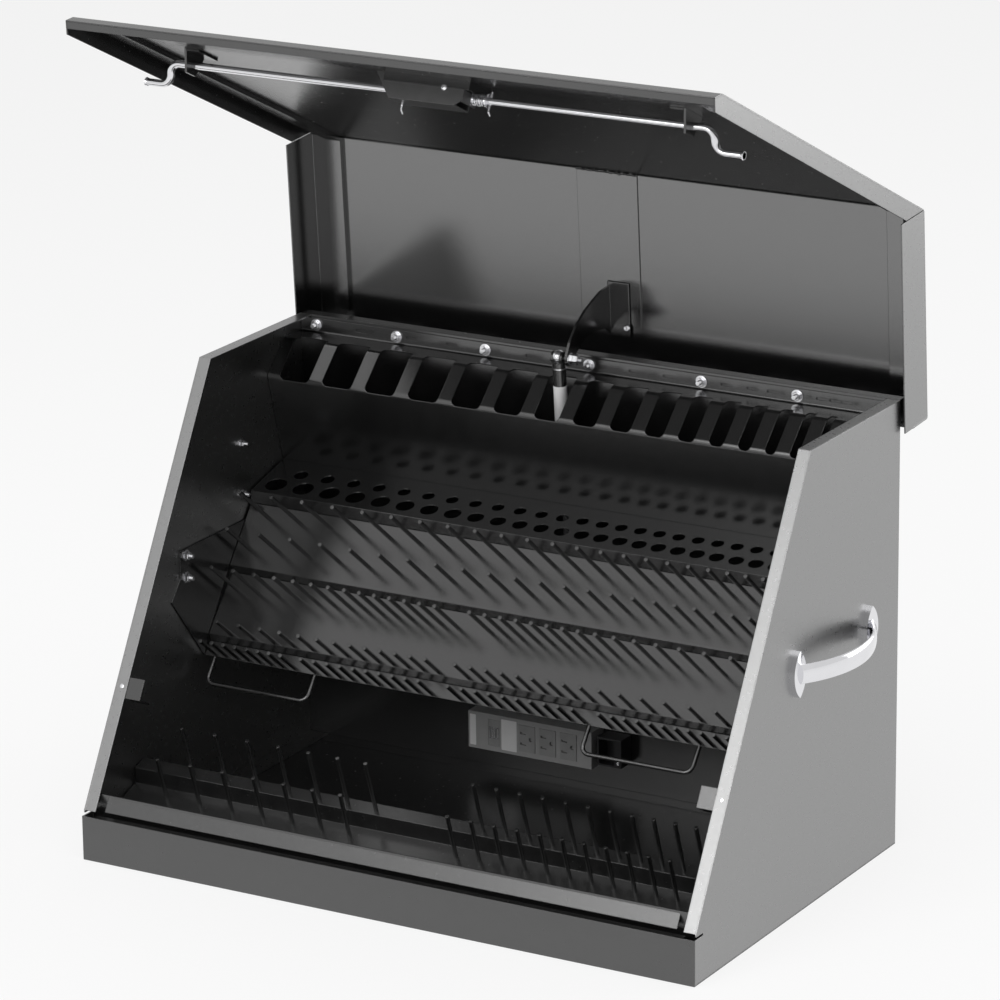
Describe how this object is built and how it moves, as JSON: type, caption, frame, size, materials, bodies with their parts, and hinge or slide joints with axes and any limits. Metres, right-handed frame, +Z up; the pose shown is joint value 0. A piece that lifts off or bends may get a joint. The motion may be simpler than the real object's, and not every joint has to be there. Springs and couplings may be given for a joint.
{
  "type": "tool workstation",
  "caption": "Wedge-shaped steel tool cabinet with a fold-over lid on a gas strut, plier rack, hole shelf, peg panels, socket tray and power strip.",
  "frame": {"origin": "middle of the cabinet's underside, where it rests", "axes": "+X to the right seen from the front, +Y to the back, +Z up"},
  "size_m": [0.8362, 0.5257, 0.9361],
  "materials": {
    "black_enamel": "satin powder coat",
    "chrome_handle": "polished",
    "bright_steel": "zinc plated",
    "outlet_plastic": "moulded",
    "strip_plastic": "moulded",
    "latch_black": "satin",
    "strut_black": "satin"
  },
  "bodies": {
    "cabinet": {"back_panel": "black_enamel", "base_pan": "black_enamel", "catch_left": "black_enamel", "catch_right": "black_enamel", "driver_shelf": "black_enamel", "handle_left": "chrome_handle", "handle_right": "chrome_handle", "hinge_channel": "black_enamel", "hinge_leaf_body": "black_enamel", "hinge_pin": "bright_steel", "peg_panel_lower": "black_enamel", "peg_panel_middle": "black_enamel", "peg_panel_upper": "black_enamel", "pegs_bit": "black_enamel", "pegs_deep_socket": "black_enamel", "pegs_long": "black_enamel", "pegs_short": "black_enamel", "pegs_socket": "black_enamel", "plier_rack": "black_enamel", "side_panel_left": "black_enamel", "side_panel_right": "black_enamel", "socket_tray": "black_enamel", "strip_housing": "strip_plastic", "strip_outlet_1": "outlet_plastic", "strip_outlet_2": "outlet_plastic", "strip_outlet_3": "outlet_plastic", "strip_usb": "outlet_plastic", "strut_bracket": "black_enamel", "tier_bracket_left": "black_enamel", "tier_bracket_right": "black_enamel", "tool_loop_left": "black_enamel", "tool_loop_right": "black_enamel", "tray_pegs_short": "black_enamel", "tray_pegs_tall": "black_enamel"},
    "lid": {"hinge_leaf_lid": "black_enamel", "latch_guide_left": "black_enamel", "latch_guide_right": "black_enamel", "latch_housing": "latch_black", "lid_doubler": "black_enamel", "lid_seal_left": "black_enamel", "lid_seal_right": "black_enamel", "lid_shell": "black_enamel", "strut_arm": "black_enamel"},
    "latch": {"latch_rod": "bright_steel"},
    "paddle": {"latch_paddle": "latch_black"},
    "strut_rod": {"strut_rod": "bright_steel"},
    "strut_tube": {"strut_tube": "strut_black"}
  },
  "joints": [
    {"name": "lid_hinge", "type": "hinge", "parent": "cabinet", "child": "lid", "pos_m": [0, 0.2525, 0.478], "axis": [1, 0, 0], "range_deg": [0, 86.3]},
    {"name": "strut_swing", "type": "hinge", "parent": "cabinet", "child": "strut_rod", "pos_m": [-0.016, 0.213, 0.2], "axis": [1, 0, 0], "range_deg": [-3.39, 0.01]},
    {"name": "strut_slide", "type": "slide", "parent": "strut_rod", "child": "strut_tube", "axis": [0, -0.0728, 0.9973], "range_m": [-0.09946, 0.0001]},
    {"name": "latch_turn", "type": "hinge", "parent": "lid", "child": "latch", "pos_m": [0, -0.09522, 0.87367], "axis": [1, 0, 0], "range_deg": [-26, 0], "stiffness_Nm_per_rad": 0.4, "springref_deg": 20.05},
    {"name": "paddle_swing", "type": "hinge", "parent": "lid", "child": "paddle", "pos_m": [0, -0.07587, 0.88046], "axis": [1, 0, 0], "range_deg": [-17.34, 0]}
  ],
  "couplings": [
    {"joint": "strut_swing", "follows": "lid_hinge", "ratio": -0.039265},
    {"joint": "strut_slide", "follows": "lid_hinge", "m_per_rad": -0.065968},
    {"joint": "paddle_swing", "follows": "latch_turn", "ratio": 0.66667}
  ]
}
